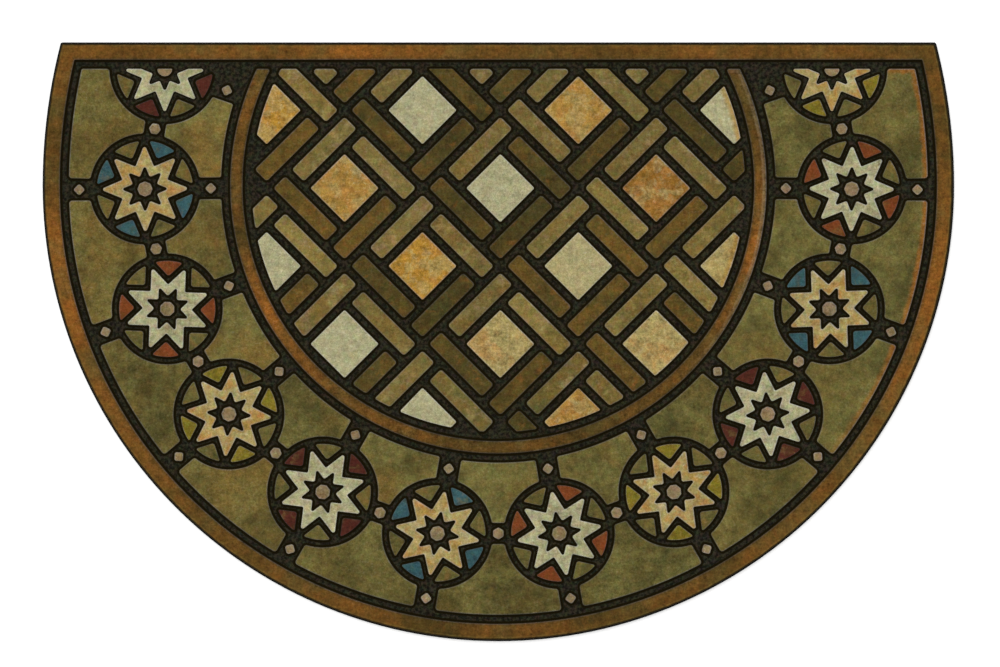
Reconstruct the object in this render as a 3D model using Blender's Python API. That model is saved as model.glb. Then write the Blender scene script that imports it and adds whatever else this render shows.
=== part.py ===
"""Half-round doormat: a moulded, flocked face on a black rubber backing.

Metres, +Z up. The origin is on the floor, under the middle of the mat's box. The straight edge is
on the +Y side and the round edge on the -Y side. The bands, the ring and the field are set out
about one point, the hub. Angles are in degrees about it, from straight down (-Y) towards +X.
Every outline is an array of points, a row each, running anticlockwise as seen from above.
"""

import math

import bmesh
import bpy
import numpy as np
from mathutils import Vector
from mathutils.geometry import delaunay_2d_cdt

MM = 0.001

# Outline
WIDTH = 889 * MM
DEPTH = 584 * MM
ROUND_RADIUS = WIDTH / 2
STRAIGHT_EDGE = DEPTH - ROUND_RADIUS
HUB = np.array((0.0, ROUND_RADIUS - DEPTH / 2))
SIDE_STRETCH = 1.12
OUTLINE_STEPS = 64
CORNER_REACH = 3.0 * MM
SHARP_TURN = math.radians(25)
LONGEST_CUT = 0.4

# Thickness
BACKING_THICKNESS = 3.5 * MM
BACKING_CHAMFER = 0.6 * MM
SEAT_GAP = 0.3 * MM
FACE_FLOOR = 2.2 * MM
PAD_HEIGHT = 2.0 * MM
PAD_SLOPE = 0.6 * MM
RUBBER_RIM = 1.2 * MM
FACE_LIP = 0.6 * MM
DIVIDING_GAP = 0.001 * MM
TRIANGLES_INSIDE = 1

# Bands, from the rim inwards
BORDER_DEPTH = 17.1 * MM
CHANNEL = 8.7 * MM
RING_WIDTH = 148.5 * MM
INNER_BAND_WIDTH = 12.2 * MM
BORDER_RADIUS = ROUND_RADIUS - BORDER_DEPTH
BORDER_TOP = STRAIGHT_EDGE - BORDER_DEPTH
RING_OUTER = BORDER_RADIUS - CHANNEL
RING_INNER = RING_OUTER - RING_WIDTH
BAND_OUTER = RING_INNER - CHANNEL
BAND_INNER = BAND_OUTER - INNER_BAND_WIDTH
FIELD_RADIUS = BAND_INNER - CHANNEL
INTERIOR_TOP = BORDER_TOP - CHANNEL
FIELD_STEPS = 60

# Ring of star roundels, a half roundel at each end against the straight edge
WHOLE_ROUNDELS = 10
RING_MIDDLE = (RING_OUTER + RING_INNER) / 2
ROUNDEL_GROUND = 54 * MM
STAR_POINTS = 8
STAR_TURN = 360 / STAR_POINTS
STAR_TIP = 44 * MM
TIP_HALF_ANGLE = math.radians(STAR_TURN / 2)
NOTCH_HALF_ANGLE = 2 * TIP_HALF_ANGLE
STAR_NOTCH = STAR_TIP * math.sin(TIP_HALF_ANGLE) / math.sin(NOTCH_HALF_ANGLE)
STAR_BAND = 8 * MM
ACCENT_CHANNEL = 5.5 * MM
ACCENT_RIM = 47 * MM
CENTRE_TILE = 7.5 * MM
LOZENGE_HALF = 6 * MM
LOZENGE_CLEARANCE = 10.5 * MM
STONE_RADIUS = 6 * MM
STONE_SIDES = 6
STONE_CLEARANCE = 12 * MM
BAND_ARC_POINTS = 5
GROUND_ARC_POINTS = 8
CENTRE_ARC_POINTS = 5

# Field of pinwheels: a square tile with four planks round it, set at 45 degrees
PINWHEEL_PITCH = 107.4 * MM
PINWHEEL_CENTRE = HUB + np.array((2.0, -2.7)) * MM
PINWHEEL_REACH = 3
SQUARE_HALF = 23.6 * MM
PLANK_WIDTH = 16.6 * MM
PLANK_INNER = SQUARE_HALF + 9.0 * MM
PLANK_OUTER = PLANK_INNER + PLANK_WIDTH
TILE_CORNER = 2.5 * MM
SHORTEST_SIDE = 1.0 * MM
SMALLEST_TILE = 130 * MM * MM

# Colours as linear red, green and blue
RUBBER_COLOUR = (0.012, 0.012, 0.013, 1.0)
TEXTILE_COLOUR = (0.115, 0.085, 0.035, 1.0)


def polar(centre, radius, angle, stretch=1.0):
    """Points at a radius and an angle from a centre; heights above the centre are stretched."""
    turn = np.radians(angle)
    height = -np.cos(turn)
    height = np.where(height > 0, height * stretch, height)
    return centre + np.stack((radius * np.sin(turn), radius * height), axis=-1)


def half_round(radius, top, steps, stretch=1.0):
    """A D: the arc of a radius about the hub, closed by a straight line at a height above it."""
    end = math.degrees(math.acos(-top / (radius * stretch)))
    return polar(HUB, radius, np.linspace(-end, end, steps + 1), stretch)


def outline_area(outline):
    """Half the sum of x*dy - y*dx: the area inside an outline, negative where it runs clockwise."""
    after = np.roll(outline, -1, axis=0)
    return (outline[:, 0] * after[:, 1] - outline[:, 1] * after[:, 0]).sum() / 2


def anticlockwise(outline):
    """The outline, turned round if it runs clockwise."""
    return outline if outline_area(outline) > 0 else outline[::-1]


def drawn_in(outline, distance):
    """The outline moved inwards: each corner goes to where its two moved sides meet."""
    side = np.roll(outline, -1, axis=0) - outline
    side /= np.linalg.norm(side, axis=1, keepdims=True)
    inward_after = np.stack((-side[:, 1], side[:, 0]), axis=1)
    inward_before = np.roll(inward_after, 1, axis=0)
    spread = 1 + (inward_before * inward_after).sum(axis=1, keepdims=True)
    return outline + distance * (inward_before + inward_after) / spread


def softened(outline, reach):
    """Each sharp corner is cut off, a reach back along both of its sides."""
    points = []
    count = len(outline)
    for here in range(count):
        corner = outline[here]
        back = outline[here - 1] - corner
        ahead = outline[(here + 1) % count] - corner
        back_length = np.linalg.norm(back)
        ahead_length = np.linalg.norm(ahead)
        straightness = -(back @ ahead) / (back_length * ahead_length)
        if straightness > math.cos(SHARP_TURN):
            points.append(corner)
            continue
        cut = min(reach, LONGEST_CUT * back_length, LONGEST_CUT * ahead_length)
        points.append(corner + back * cut / back_length)
        points.append(corner + ahead * cut / ahead_length)
    return np.array(points)


def clipped(outline, point, inward):
    """The part of an outline on the inward side of the line through a point."""
    height = (outline - point) @ inward
    kept = []
    for here in range(len(outline)):
        after = (here + 1) % len(outline)
        if height[here] >= 0:
            kept.append(outline[here])
        if (height[here] < 0) != (height[after] < 0):
            share = height[here] / (height[here] - height[after])
            kept.append(outline[here] + share * (outline[after] - outline[here]))
    return np.array(kept)


def fenced(outline, fence):
    """The part of a tile inside a convex anticlockwise fence, or None where too little is left."""
    for here in range(len(fence)):
        side = fence[(here + 1) % len(fence)] - fence[here]
        outline = clipped(outline, fence[here], np.array((-side[1], side[0])))
        if len(outline) < 3:
            return None
    gaps = np.linalg.norm(np.roll(outline, -1, axis=0) - outline, axis=1)
    outline = outline[gaps > SHORTEST_SIDE]
    if len(outline) < 3 or outline_area(outline) < SMALLEST_TILE:
        return None
    return outline


def band_outline():
    """The inner band: its outer arc one way, its inner arc back, cut off at the interior's top."""
    outer = half_round(BAND_OUTER, INTERIOR_TOP, OUTLINE_STEPS)
    inner = half_round(BAND_INNER, INTERIOR_TOP, OUTLINE_STEPS)
    return np.concatenate((outer, inner[::-1]))


def field_tiles():
    """The pinwheels' squares and planks, cut off at the field's edge."""
    fence = half_round(FIELD_RADIUS, INTERIOR_TOP, FIELD_STEPS)
    diagonal = math.sqrt(0.5)
    along = np.array((diagonal, -diagonal))
    across = np.array((-diagonal, -diagonal))
    square = SQUARE_HALF * np.array(((-1, -1), (1, -1), (1, 1), (-1, 1)))
    plank = np.array((
        (PLANK_INNER, -SQUARE_HALF),
        (PLANK_OUTER, -SQUARE_HALF),
        (PLANK_OUTER, PLANK_OUTER),
        (PLANK_INNER, PLANK_OUTER),
    ))
    shapes = [square]
    for _ in range(4):
        shapes.append(plank)
        plank = np.stack((-plank[:, 1], plank[:, 0]), axis=1)
    tiles = []
    for row in range(-PINWHEEL_REACH, PINWHEEL_REACH + 1):
        for column in range(-PINWHEEL_REACH, PINWHEEL_REACH + 1):
            centre = PINWHEEL_CENTRE + PINWHEEL_PITCH * (row * along + column * across)
            for shape in shapes:
                placed = centre + shape[:, :1] * along + shape[:, 1:] * across
                tile = fenced(anticlockwise(placed), fence)
                if tile is not None:
                    tiles.append(softened(tile, TILE_CORNER))
    return tiles


def star_line(centre, heading, corners, drawn):
    """A number of a star's tips and notches in turn, from a tip on, drawn in by a distance."""
    steps = np.arange(corners)
    tip = STAR_TIP - drawn / math.sin(TIP_HALF_ANGLE)
    notch = STAR_NOTCH - drawn / math.sin(NOTCH_HALF_ANGLE)
    radius = np.where(steps % 2 == 0, tip, notch)
    return polar(centre, radius, heading + steps * STAR_TURN / 2)


def star_band(centre, heading):
    """A whole star's outer and inner outlines."""
    return [star_line(centre, heading, 2 * STAR_POINTS, drawn) for drawn in (0.0, STAR_BAND)]


def accent_tile(centre, heading):
    """A tile between two star points: its apex at the notch, its other side an arc of the rim."""
    apex = STAR_NOTCH + ACCENT_CHANNEL / math.sin(NOTCH_HALF_ANGLE)
    half = (math.sqrt(2 * ACCENT_RIM ** 2 - apex ** 2) - apex) / 2
    spread = math.degrees(math.asin(half / ACCENT_RIM))
    rim = polar(centre, ACCENT_RIM, heading + np.array((-spread, 0, spread)))
    return np.concatenate((polar(centre, apex, heading)[None], rim))


def regular_tile(centre, radius, sides, heading):
    """A tile of equal sides, with a corner on its heading."""
    return polar(centre, radius, heading + np.arange(sides) * 360 / sides)


def half_star(centre):
    """The lower half of a star band, cut at its centre's height, with a point at each end."""
    outer, inner = (star_line(centre, -90, STAR_POINTS + 1, drawn) for drawn in (0.0, STAR_BAND))
    return np.concatenate((outer, inner[::-1]))


def roundel_tiles(centre, heading, half):
    """A roundel's accents and centre tile; a half roundel keeps those below its centre."""
    accents = STAR_POINTS // 2 if half else STAR_POINTS
    first = -90 if half else heading
    tiles = []
    for number in range(accents):
        tiles.append(accent_tile(centre, first + (number + 0.5) * STAR_TURN))
    if half:
        tiles.append(polar(centre, CENTRE_TILE, np.linspace(-90, 90, CENTRE_ARC_POINTS)))
    else:
        tiles.append(regular_tile(centre, CENTRE_TILE, STAR_POINTS, heading))
    return tiles


def panel_side(band_radius, outward, middle, side, pitch):
    """Half of a panel's outline, from its band to the stone between two roundels.

    It starts on the band's arc beside the lozenge, goes straight to the roundel's ground circle
    and follows that circle until it comes within the stone's clearance.
    """
    heading = middle + side * pitch / 2
    roundel = polar(HUB, RING_MIDDLE, heading)
    away = outward * polar(np.zeros(2), 1.0, heading)
    towards = -side * polar(np.zeros(2), 1.0, heading + 90)
    stretch = SIDE_STRETCH if outward > 0 else 1.0
    beside = math.degrees(math.asin(LOZENGE_CLEARANCE / band_radius))
    start = polar(HUB, band_radius, heading - side * beside, stretch)
    half_gap = RING_MIDDLE * math.sin(math.radians(pitch / 2))
    nearest = ROUNDEL_GROUND ** 2 + half_gap ** 2 - STONE_CLEARANCE ** 2
    short_of_stone = math.acos(nearest / (2 * ROUNDEL_GROUND * half_gap))
    first = math.asin(LOZENGE_CLEARANCE / ROUNDEL_GROUND)
    last = math.radians(90 + outward * pitch / 2) - short_of_stone
    turn = np.linspace(first, last, GROUND_ARC_POINTS)[:, None]
    ground = roundel + ROUNDEL_GROUND * (np.cos(turn) * away + np.sin(turn) * towards)
    return np.concatenate((start[None], ground))


def ring_panel(outward, middle, pitch):
    """The panel between two roundels, on the border's side or on the inner band's side."""
    band_radius = RING_OUTER if outward > 0 else RING_INNER
    stretch = SIDE_STRETCH if outward > 0 else 1.0
    left = panel_side(band_radius, outward, middle, -1, pitch)
    right = panel_side(band_radius, outward, middle, 1, pitch)
    half = pitch / 2 - math.degrees(math.asin(LOZENGE_CLEARANCE / band_radius))
    arc = polar(HUB, band_radius, middle + half * np.linspace(-1, 1, BAND_ARC_POINTS), stretch)[1:-1]
    panel = anticlockwise(np.concatenate((left[:1], arc, right, left[:0:-1])))
    return clipped(panel, HUB + np.array((0.0, INTERIOR_TOP)), np.array((0.0, -1.0)))


def ring_pads():
    """The ring's pads: tiles as outlines, and star bands as pairs of outlines."""
    end = 90 + math.degrees(math.asin(INTERIOR_TOP / RING_MIDDLE))
    pitch = 2 * end / (WHOLE_ROUNDELS + 1)
    tiles = []
    stars = []
    for number in range(WHOLE_ROUNDELS + 2):
        heading = -end + number * pitch
        centre = polar(HUB, RING_MIDDLE, heading)
        half = number in (0, WHOLE_ROUNDELS + 1)
        tiles.extend(roundel_tiles(centre, heading, half))
        if half:
            tiles.append(half_star(centre))
        else:
            stars.append(star_band(centre, heading))
        outer_middle = (RING_OUTER + RING_MIDDLE + ROUNDEL_GROUND) / 2
        inner_middle = (RING_INNER + RING_MIDDLE - ROUNDEL_GROUND) / 2
        if not half:
            tiles.append(regular_tile(polar(HUB, outer_middle, heading), LOZENGE_HALF, 4, heading))
        tiles.append(regular_tile(polar(HUB, inner_middle, heading), LOZENGE_HALF, 4, heading))
    for number in range(WHOLE_ROUNDELS + 1):
        middle = -end + (number + 0.5) * pitch
        stone_radius = RING_MIDDLE * math.cos(math.radians(pitch / 2))
        tiles.append(regular_tile(polar(HUB, stone_radius, middle), STONE_RADIUS, STONE_SIDES, middle))
        for outward in (1, -1):
            tiles.append(softened(ring_panel(outward, middle, pitch), TILE_CORNER))
    return tiles, stars


def add_block(mesh, layers):
    """A closed solid through outlines laid one above the other, each given with its height."""
    loops = []
    for outline, height in layers:
        loops.append([mesh.verts.new((x, y, height)) for x, y in outline])
    for lower, upper in zip(loops, loops[1:]):
        add_walls(mesh, lower, upper)
    mesh.faces.new(loops[-1])
    mesh.faces.new(loops[0][::-1])


def add_walls(mesh, lower, upper):
    """Four-sided faces between two loops of the same number of points."""
    for here in range(len(lower)):
        after = (here + 1) % len(lower)
        mesh.faces.new((lower[here], lower[after], upper[after], upper[here]))


def new_object(name, mesh, material):
    """An object of a name, with a mesh and a material."""
    data = bpy.data.meshes.new(name)
    mesh.to_mesh(data)
    mesh.free()
    data.materials.append(material)
    thing = bpy.data.objects.new(name, data)
    bpy.context.scene.collection.objects.link(thing)
    return thing


def new_material(name, colour, roughness):
    """A plain material of a colour and a roughness."""
    material = bpy.data.materials.new(name)
    material.use_nodes = True
    shader = material.node_tree.nodes["Principled BSDF"]
    shader.inputs["Base Color"].default_value = colour
    shader.inputs["Roughness"].default_value = roughness
    shader.inputs["Metallic"].default_value = 0.0
    return material


def rim_outline(inset):
    """The mat's outline, a distance inside the rubber's rim, with its two corners softened."""
    outline = half_round(ROUND_RADIUS - inset, STRAIGHT_EDGE - inset, OUTLINE_STEPS, SIDE_STRETCH)
    return softened(outline, CORNER_REACH)


def make_backing():
    """The rubber backing: the whole outline, plain and flat underneath, its upper edge chamfered."""
    outline = rim_outline(0.0)
    mesh = bmesh.new()
    add_block(mesh, (
        (outline, 0.0),
        (outline, BACKING_THICKNESS - BACKING_CHAMFER),
        (drawn_in(outline, BACKING_CHAMFER), BACKING_THICKNESS),
    ))
    return new_object("rubber_backing", mesh, new_material("black_rubber", RUBBER_COLOUR, 0.75))


def pad_outlines():
    """The pads' outlines, and the outlines of the openings in those pads that are rings."""
    border = half_round(BORDER_RADIUS, BORDER_TOP, OUTLINE_STEPS, SIDE_STRETCH)
    tiles, stars = ring_pads()
    pads = [rim_outline(RUBBER_RIM + FACE_LIP), band_outline()] + tiles + field_tiles()
    pads.extend(outer for outer, inner in stars)
    openings = [softened(border, CORNER_REACH)] + [inner for outer, inner in stars]
    return pads, openings


def make_face():
    """The textile face, in one piece: its flat floor is divided along every pad's outline.

    A part of it that lies inside an odd number of outlines is raised to the pads' height, a little
    smaller than its foot, and leaning walls join the two.
    """
    base = BACKING_THICKNESS + SEAT_GAP
    floor = base + FACE_FLOOR
    top = floor + PAD_HEIGHT
    pads, openings = pad_outlines()
    loops = [rim_outline(RUBBER_RIM)] + pads + openings
    leans = [0.0] + [PAD_SLOPE] * len(pads) + [-PAD_SLOPE] * len(openings)
    feet = np.concatenate(loops)
    heads = np.concatenate([drawn_in(loop, lean) for loop, lean in zip(loops, leans)])
    ends = np.cumsum([len(loop) for loop in loops])
    numbers = [list(range(end - len(loop), end)) for loop, end in zip(loops, ends)]
    points = [Vector(foot) for foot in feet]
    _, _, triangles, sources, _, owners = delaunay_2d_cdt(
        points, [], numbers, TRIANGLES_INSIDE, DIVIDING_GAP, True
    )

    mesh = bmesh.new()
    lower = [mesh.verts.new((x, y, floor)) for x, y in feet]
    upper = [mesh.verts.new((x, y, top)) for x, y in heads]
    under = [mesh.verts.new((x, y, base)) for x, y in loops[0]]
    for triangle, owner in zip(triangles, owners):
        pad_count = len(owner) - 1
        level = upper if pad_count % 2 else lower
        mesh.faces.new([level[sources[corner][0]] for corner in triangle])
    for loop in numbers[1:]:
        add_walls(mesh, [lower[number] for number in loop], [upper[number] for number in loop])
    add_walls(mesh, under, lower[:len(under)])
    mesh.faces.new(under[::-1])
    for corner in upper[:len(under)]:
        mesh.verts.remove(corner)
    bmesh.ops.recalc_face_normals(mesh, faces=mesh.faces)
    return new_object("moulded_face", mesh, new_material("flocked_textile", TEXTILE_COLOUR, 0.95))


def main():
    for thing in list(bpy.data.objects):
        bpy.data.objects.remove(thing, do_unlink=True)
    make_backing()
    make_face()


main()
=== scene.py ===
"""Looks of the half-round doormat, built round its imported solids.

Metres, +Z up. The origin is on the floor, under the middle of the mat's box, the straight edge is
on the +Y side and the round edge on the -Y side. The bands, the ring and the field are set out
about one point, the hub. Angles are in degrees about it, from straight down (-Y) towards +X.
Every outline is an array of points, a row each, running anticlockwise as seen from above.
"""

import math

import bpy
import numpy as np
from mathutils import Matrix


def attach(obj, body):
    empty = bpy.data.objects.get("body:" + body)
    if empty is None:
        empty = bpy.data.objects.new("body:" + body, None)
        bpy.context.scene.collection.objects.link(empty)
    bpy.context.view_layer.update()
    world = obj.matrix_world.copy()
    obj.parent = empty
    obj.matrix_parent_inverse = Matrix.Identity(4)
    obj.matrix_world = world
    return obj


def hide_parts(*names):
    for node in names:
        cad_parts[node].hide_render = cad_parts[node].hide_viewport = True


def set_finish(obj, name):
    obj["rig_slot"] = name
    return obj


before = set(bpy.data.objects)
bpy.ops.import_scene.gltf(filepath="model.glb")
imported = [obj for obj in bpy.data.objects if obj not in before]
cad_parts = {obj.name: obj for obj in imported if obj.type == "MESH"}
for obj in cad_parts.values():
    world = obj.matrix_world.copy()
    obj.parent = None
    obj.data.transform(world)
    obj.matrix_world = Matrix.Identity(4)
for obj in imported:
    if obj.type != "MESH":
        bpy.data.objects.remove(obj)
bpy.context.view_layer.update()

bl_info = {
    "name": "Half-round doormat",
    "version": (1, 0, 0),
    "blender": (4, 5, 0),
    "location": "3D View > Sidebar > Doormat",
    "description": "A half-round doormat: a flocked face moulded in relief on rubber",
    "category": "Object",
}

MM = 0.001

# How finely outlines are drawn, and how their corners are rounded
RIM_STEPS = 144
BAND_STEPS = 120
FENCE_STEPS = 90
TOP_POINTS = 40
PANEL_ARC_POINTS = 17
GROUND_POINTS = 16
ACCENT_RIM_POINTS = 7
HALF_TILE_POINTS = 9
CORNER_POINTS = 5
SHARP_TURN = math.radians(12)
SIDE_SHARE = 0.45
CORNER_KEEP = 3.0 * MM
SAFE_SHARE = 0.9
NEARLY_ZERO = 1e-9

# Corner radii in millimetres: of corners that point outwards, and of those that point inwards
CORNERS = {
    "rim": (2.2, 2.2), "border": (1.4, 1.4), "band": (2.0, 2.0), "star": (1.9, 1.3),
    "star_hole": (1.3, 1.9), "half_star": (1.6, 1.6), "centre": (2.0, 2.0), "accent": (2.6, 2.6),
    "stone": (2.2, 2.2), "panel": (3.0, 2.0), "square": (1.7, 1.7), "plank": (3.0, 2.6),
}

# Edges carried along an outline: outwards from it, up, and the print's depth, 2 on the channels' floor
PAD_EDGE = np.array((
    (2.70, -0.15, 2.0), (2.70, 0.02, 2.0), (1.70, 0.05, 1.7), (0.70, 0.14, 1.4), (0.25, 0.42, 1.2),
    (0.08, 0.90, 1.1), (0.00, 1.35, 1.0), (-0.15, 1.68, 0.75), (-0.45, 1.89, 0.45),
    (-0.90, 1.97, 0.2), (-1.50, 2.00, 0.0),
)) * (MM, MM, 1)
RUBBER_EDGE = np.array((
    (-0.50, 0.00, 0), (-0.12, 0.12, 0), (0.00, 0.50, 0), (0.00, 2.60, 0), (-0.10, 3.05, 0),
    (-0.35, 3.35, 0), (-0.80, 3.48, 0), (-1.40, 3.50, 0),
)) * (MM, MM, 1)
FLOOR_EDGE = np.array((
    (0.00, 0.00, 0), (0.00, 1.70, 0), (-0.12, 2.02, 0), (-0.40, 2.17, 0), (-0.80, 2.20, 0),
)) * (MM, MM, 1)
BORDER_LIP = 0.45 * MM

# The ring's tiles
STAR_POINTS = 8
STAR_TURN = 360 / STAR_POINTS
TIP_HALF_ANGLE = math.radians(STAR_TURN / 2)
NOTCH_HALF_ANGLE = 2 * TIP_HALF_ANGLE
ROUNDEL_GROUND = 54 * MM
ACCENT_CHANNEL = 5.5 * MM
ACCENT_RIM = 47 * MM
CENTRE_TILE = 7.5 * MM
LOZENGE_HALF = 6 * MM
LOZENGE_CLEARANCE = 10.5 * MM
STONE_RADIUS = 6 * MM
STONE_SIDES = 6
STONE_CLEARANCE = 12 * MM

# The field's pinwheels
DIAGONAL = math.sqrt(0.5)
ALONG = np.array((DIAGONAL, -DIAGONAL))
ACROSS = np.array((-DIAGONAL, -DIAGONAL))
PINWHEEL_SHIFT = np.array((2.0, -2.7)) * MM
PINWHEEL_REACH = 3
SHORTEST_SIDE = 1.0 * MM
SMALLEST_TILE = 130 * MM * MM

# Tiles printed otherwise than the rest, by (row, column): gold squares by tone, planks by side first
CREAM_SQUARES = {(-1, 0), (0, 0), (0, 2), (1, 0), (-1, 2), (1, 2), (1, -2)}
YELLOW_SQUARES = {(1, 0)}
PLAIN_GOLD = 0.7
GOLD_TONES = {0.4: {(1, 1), (2, 0), (2, -1)}, 1.0: {(1, -1)}, 1.4: {(-2, 1), (0, 1)}}
DARK_PLANKS = {2: {(-1, 0), (0, 0), (0, 1), (1, -2), (1, 1), (1, 2), (2, 1)}, 4: {(-1, 0), (0, 0)}}
RUSTY_PLANKS = {
    1: {(-2, 0), (-2, 1), (-1, 1), (-1, 2), (1, -1), (1, 0)},
    2: {(-1, 1), (1, 0), (2, 0)},
    4: {(1, 0), (2, 0)},
}
STRAW_TONE = 2.0
OLIVE_PLANKS = {3: {(2, 1)}, 4: {(1, 2)}}
STRAW_PLANKS = {2: {(1, -1), (2, -1)}, 3: {(2, 0), (2, -1)}, 4: {(-2, 1), (-1, 2), (1, 1)}}

# How warm the bands are along their length: swells as (heading, reach in degrees, strength)
BAND_WARMTH = 0.44
BORDER_SWELLS = (
    (-135, 12, 0.45), (-78, 10, 0.58), (74, 12, 0.58), (4, 26, -0.34), (-97, 8, -0.15), (100, 9, -0.2),
)
INNER_SWELLS = ((-56, 13, 0.62), (78, 14, 0.6), (12, 17, -0.42), (-86, 12, -0.42), (102, 8, -0.2))

# How warm the panels are: below the hub, less for each degree to the right, and by turns
PANEL_WARMTH = 0.36
PANEL_COOLING = 0.0042
PANEL_SWING = 0.2

# How pale the pads' rounded edges are: a painted highlight everywhere, more away from the middle where
# the print falls short of the mould, and more painted highlight towards the far right corner
HIGHLIGHT_EVERYWHERE = 0.5
PALE_AWAY = 0.35
HIGHLIGHT_CORNER = 0.25
PALE_REACH = 450 * MM

# Depths between which the print turns pale (partly painted highlight), then to the near-black painted
# shade of the walls, then to charcoal
PALE_DEPTHS = (0.0, 0.3)
WALL_SHADE_DEPTHS = (0.55, 1.1)
CHARCOAL_DEPTHS = (1.8, 2.02)
RAGGED = 0.8

# How strong and how light the pale edge is, in part a painted highlight
PALE_SHARE = 0.55
PALE_LIGHT = 1.4

# Patches of ink from this size on, in millimetres, are soft: noise detail, roughness and edge's reach
SOFT_FROM = 40
SOFT_PATCH = (2.0, 0.5, 0.11)
CRISP_PATCH = (4.0, 0.58, 0.065)

# The noise's value at a patch's edge for no cover, how much lower it is for full cover, and its swirl
PATCH_EDGE = 0.665
PATCH_COVER = 0.3
PATCH_SWIRL = 0.5

# How far the noise moves from wash to wash and from tile to tile
WASH_SHIFT = (1.7, 0.9, 0.4)
TILE_SHIFT = (7.3, -4.1, 2.7)

# Sizes of what the flock, the channels and the rubber show
FIBRE = 0.75 * MM
TUFT = 2.6 * MM
MOTTLE = 8 * MM
HUE = 5.5 * MM
WEAVE = np.array(((9, 2, 2), (2, 9, 2))) * MM
STRIPE_RAGS = 9 * MM
SPECK = 3.2 * MM
CHANNEL_CLOUD = 30 * MM
CHANNEL_HUE = 4.5 * MM
CHANNEL_GRAIN = 1.2 * MM
GRANULE = 2.2 * MM
CRUMB = 0.8 * MM

# How strong the fibres and clouds are, and the fibres' mean light
FIBRE_CONTRAST = 1.3
FIBRE_LIGHT = 1.02
CHANNEL_CONTRAST = 2.0
CLOUD_CONTRAST = 0.5

# The flock's roughness by its tufts and the channels' light by their specks: from, to, first, last
FLOCK_ROUGHNESS = (0.2, 0.8, 0.98, 0.86)
SPECK_LIGHT = (0.34, 0.68, 0.45, 1.95)

# The fine relief, and the shine that all finishes share
TUFT_SHARE = 0.4
FIBRE_SHARE = 0.6
FLOCK_RELIEF = 0.7 * MM
CHANNEL_RELIEF = 0.8 * MM
RUBBER_RELIEF = 0.2 * MM
SPECULAR = 0.02
SHEEN_ROUGHNESS = 0.6

# How ragged a stripe is, and the shares of its radius between which a right-hand one sets in
STRIPE_RAGGED = 1.2
RIGHT_FROM = 0.65
RIGHT_TO = 0.97

# Prints: base, washes, tones, tiles' difference in light, strength of tufts, mottles, weave, and hue
BAND_TONES = ((0.0, 0.5, "brown"), (0.45, 1.0, "rust"))
PANEL_TONES = ((0.1, 1.2, "ochre"),)
PANEL_REST = (PANEL_TONES, 0.26, (1.4, 1.3, 0.4), 0.4)
STAR_REST = ((), 0.06, (1.1, 1.1, 0.9), 0.5)
TILE_REST = ((), 0.16, (1.1, 1.1, 0.9), 0.5)
ACCENTS = ("brick", "blue", "orange", "mustard")
ACCENT_WASHES = (("umber", 14, 0.25, 0.35), ("sand", 10, 0.12, 0.3))
PRINTS = {
    "border": ("umber", (
        ("rust", 70, 0.5, 0.35), ("umber", 50, 0.4, 0.35), ("olive", 40, 0.25, 0.4),
        ("rust", 20, 0.3, 0.2), ("umber", 12, 0.3, 0.15),
    ), BAND_TONES, 0.0, (1.5, 1.3, 1.1), 0.35),
    "inner_band": ("umber", (
        ("rust", 70, 0.5, 0.35), ("umber", 60, 0.45, 0.4), ("olive", 40, 0.25, 0.4),
        ("rust", 24, 0.3, 0.25), ("umber", 14, 0.3, 0.2),
    ), BAND_TONES, 0.0, (1.6, 1.7, 1.2), 0.35),
    "cream_stars": ("cream", (("bone", 24, 0.4, 0.6), ("sand", 12, 0.2, 0.35)), *STAR_REST),
    "gold_stars": ("pale_gold", (
        ("amber", 22, 0.45, 0.7), ("cream", 14, 0.3, 0.5), ("peach", 16, 0.25, 0.6),
    ), *STAR_REST),
    **{colour + "_accents": (colour, ACCENT_WASHES, *TILE_REST) for colour in ACCENTS},
    "muted_accents": ("olive", (("moss", 14, 0.3, 0.5), ("ochre", 18, 0.35, 0.5)), *TILE_REST),
    "star_centres": ("clay", (("sand", 10, 0.4, 0.5),), *TILE_REST),
    "outer_panels": ("olive", (
        ("moss", 62, 0.45, 0.7), ("ochre", 70, 0.3, 0.25), ("sage", 48, 0.5, 0.65),
        ("umber", 40, 0.12, 0.4), ("moss", 16, 0.3, 0.2), ("ochre", 12, 0.3, 0.2),
    ), *PANEL_REST),
    "inner_panels": ("olive", (
        ("ochre", 60, 0.35, 0.35), ("brown", 50, 0.12, 0.4), ("moss", 48, 0.45, 0.7),
        ("sage", 42, 0.5, 0.65), ("moss", 16, 0.3, 0.2), ("ochre", 12, 0.3, 0.2),
    ), *PANEL_REST),
    "lozenges_and_stones": ("clay", (("sand", 9, 0.35, 0.5), ("cream", 8, 0.15, 0.4)), *TILE_REST),
    "cream_squares": ("cream", (
        ("bone", 26, 0.35, 0.35), ("pale_gold", 20, 0.15, 0.3),
    ), ((0.0, 2.0, "pale_gold"),), 0.05, (1.1, 0.8, 0.6), 0.3),
    "gold_squares": ("cream", (
        ("peach", 22, 0.4, 0.5), ("pale_gold", 17, 0.45, 0.55), ("copper", 14, 0.2, 0.3),
        ("cream", 9, 0.2, 0.25),
    ), (
        (0.2, 0.4, "pale_gold"), (0.5, 0.7, "amber"), (0.8, 1.0, "copper"), (1.2, 1.4, "honey"),
    ), 0.05, (1.4, 1.5, 0.9), 0.25),
    "light_planks": ("sand", (
        ("ochre", 40, 0.4, 0.7), ("olive", 30, 0.35, 0.5), ("brown", 14, 0.1, 0.4),
        ("clay", 16, 0.2, 0.4), ("pale_gold", 14, 0.2, 0.3),
    ), ((0.2, 0.8, "olive"), (1.2, 1.8, "straw")), 0.2, (1.1, 0.9, 0.8), 0.6),
    "dark_planks": ("bark", (
        ("tan", 40, 0.35, 0.6), ("moss", 30, 0.35, 0.5), ("ochre", 14, 0.1, 0.3),
        ("rust", 12, 0.1, 0.3), ("umber", 16, 0.25, 0.3),
    ), ((0.2, 0.8, "tan"),), 0.16, (1.2, 1.1, 0.9), 0.6),
}

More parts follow.
